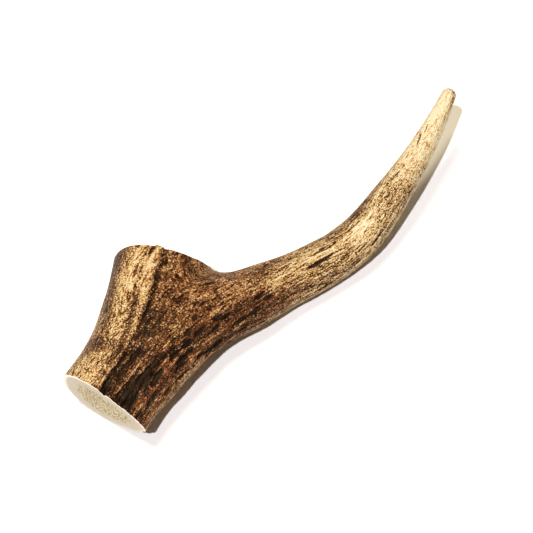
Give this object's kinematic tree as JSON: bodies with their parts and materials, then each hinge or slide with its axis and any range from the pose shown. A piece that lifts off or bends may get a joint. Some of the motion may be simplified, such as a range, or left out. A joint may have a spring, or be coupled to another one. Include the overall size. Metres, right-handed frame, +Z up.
{
  "type": "deer antler",
  "caption": "Sawn piece of deer antler: a short length of main beam with a long curved tine, lying on its side.",
  "frame": {"origin": "on the surface that the piece lies on, below the middle of its bounding box", "axes": "+X out along the tine, +Y up the main beam towards its upper cut, +Z up from the surface"},
  "size_m": [0.159, 0.1489, 0.036],
  "materials": {
    "dark_antler": "dark brown weathered antler, grooved and mottled with tan, satin on its ridges; sawn ends of cream bone with a porous middle",
    "pale_antler": "tan to ivory antler, speckled brown, worn smooth and slightly glossy along the crest and at the tip"
  },
  "bodies": {
    "root": {"main_beam": "dark_antler", "tine": "pale_antler"}
  },
  "joints": []
}
